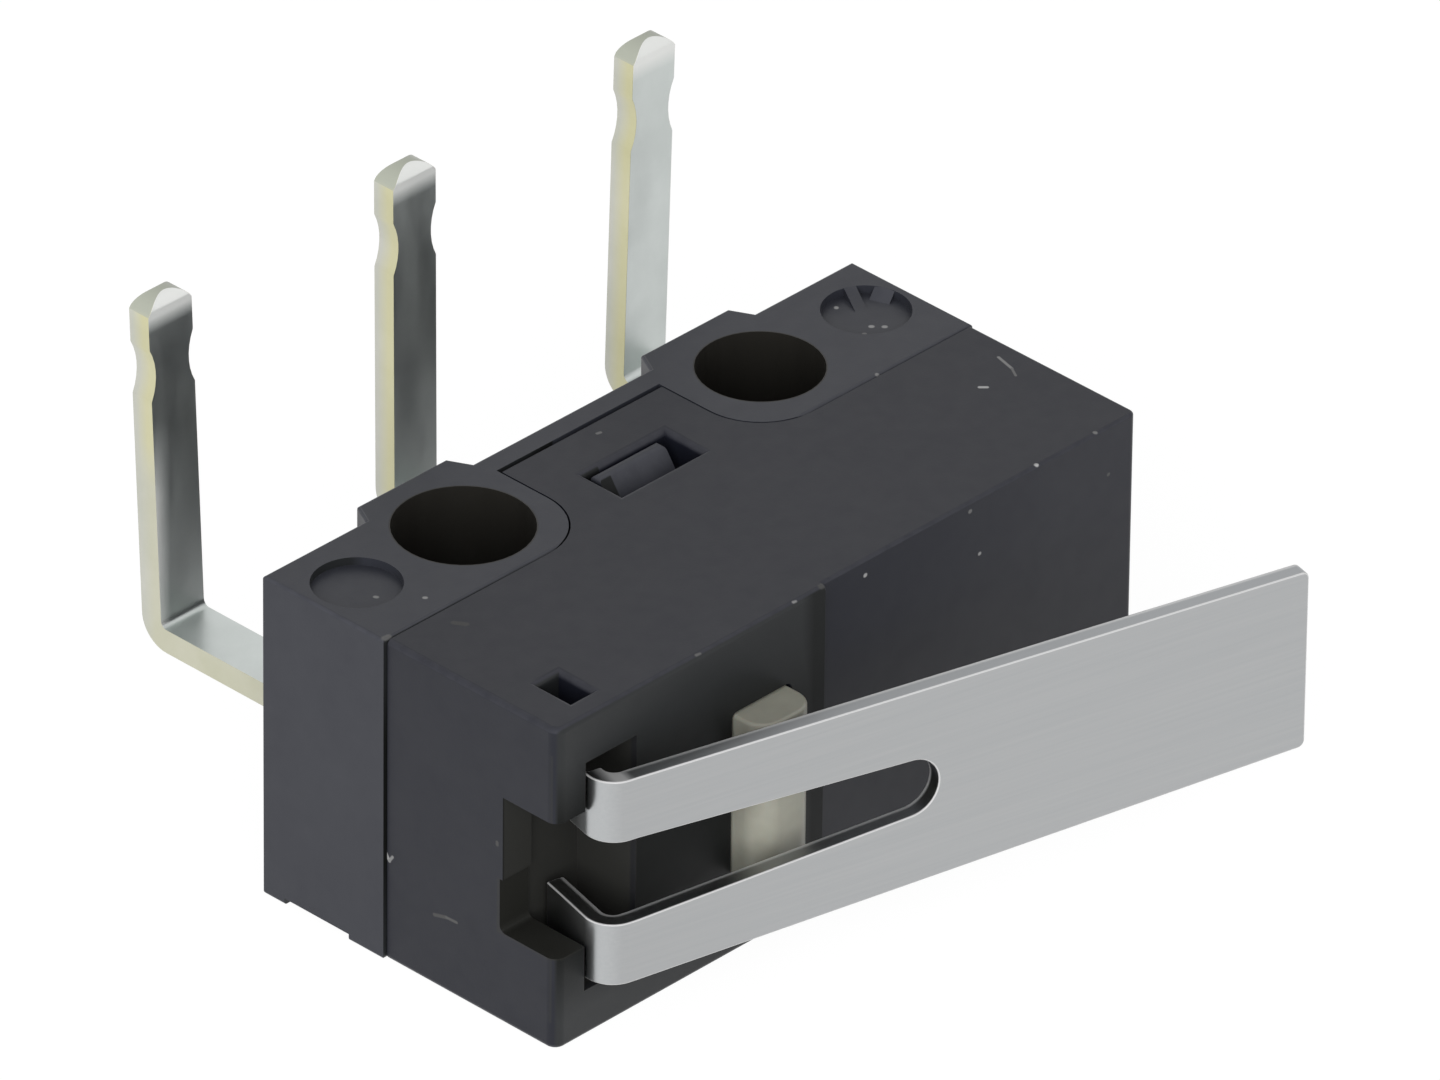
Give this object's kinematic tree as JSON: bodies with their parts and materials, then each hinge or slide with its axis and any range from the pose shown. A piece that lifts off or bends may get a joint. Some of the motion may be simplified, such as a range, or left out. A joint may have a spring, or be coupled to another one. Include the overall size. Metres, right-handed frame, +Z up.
{
  "type": "lever micro switch",
  "caption": "Subminiature snap-action switch with a hinged sheet lever over its plunger and bent board pins.",
  "frame": {"origin": "on the axis of the smaller mounting hole, in the side face on which the switch rests", "axes": "+X along the case from the lever's hinge towards its free end, +Y from the plunger face towards the terminals, +Z up through the thickness of the case"},
  "size_m": [0.013, 0.0133, 0.009],
  "materials": {
    "case_plastic": "dark grey glass-filled moulding with a soft sheen",
    "plunger_plastic": "greyish ivory moulding",
    "lever_steel": "satin stainless sheet with grain along its length",
    "terminal_metal": "silver-coloured plating, slightly tarnished",
    "contact_metal": "silver alloy",
    "blade_metal": "copper alloy spring strip"
  },
  "bodies": {
    "housing": {"base": "case_plastic", "cover": "case_plastic", "common_terminal": "terminal_metal", "normally_open_terminal": "terminal_metal", "normally_closed_terminal": "terminal_metal", "normally_open_contact": "contact_metal", "normally_closed_contact": "contact_metal"},
    "lever": {"actuator_lever": "lever_steel"},
    "plunger_body": {"plunger": "plunger_plastic"},
    "blade": {"snap_blade": "blade_metal", "moving_contact": "contact_metal"}
  },
  "joints": [
    {"name": "lever_hinge", "type": "hinge", "parent": "housing", "child": "lever", "pos_m": [-0.00863, -0.00435, 0.0029], "axis": [0, 0, 1], "range_deg": [0, 15.1], "stiffness_Nm_per_rad": 0.02},
    {"name": "plunger_slide", "type": "slide", "parent": "housing", "child": "plunger_body", "axis": [0, 1, 0], "range_m": [0, 0.00048]},
    {"name": "blade_hinge", "type": "hinge", "parent": "housing", "child": "blade", "pos_m": [-0.00787, -0.00278, 0.0029], "axis": [0, 0, 1], "range_deg": [0, 3.35]}
  ],
  "couplings": [
    {"joint": "plunger_slide", "follows": "lever_hinge", "m_per_rad": 0.0018024},
    {"joint": "blade_hinge", "follows": "lever_hinge", "ratio": 0.21871}
  ]
}
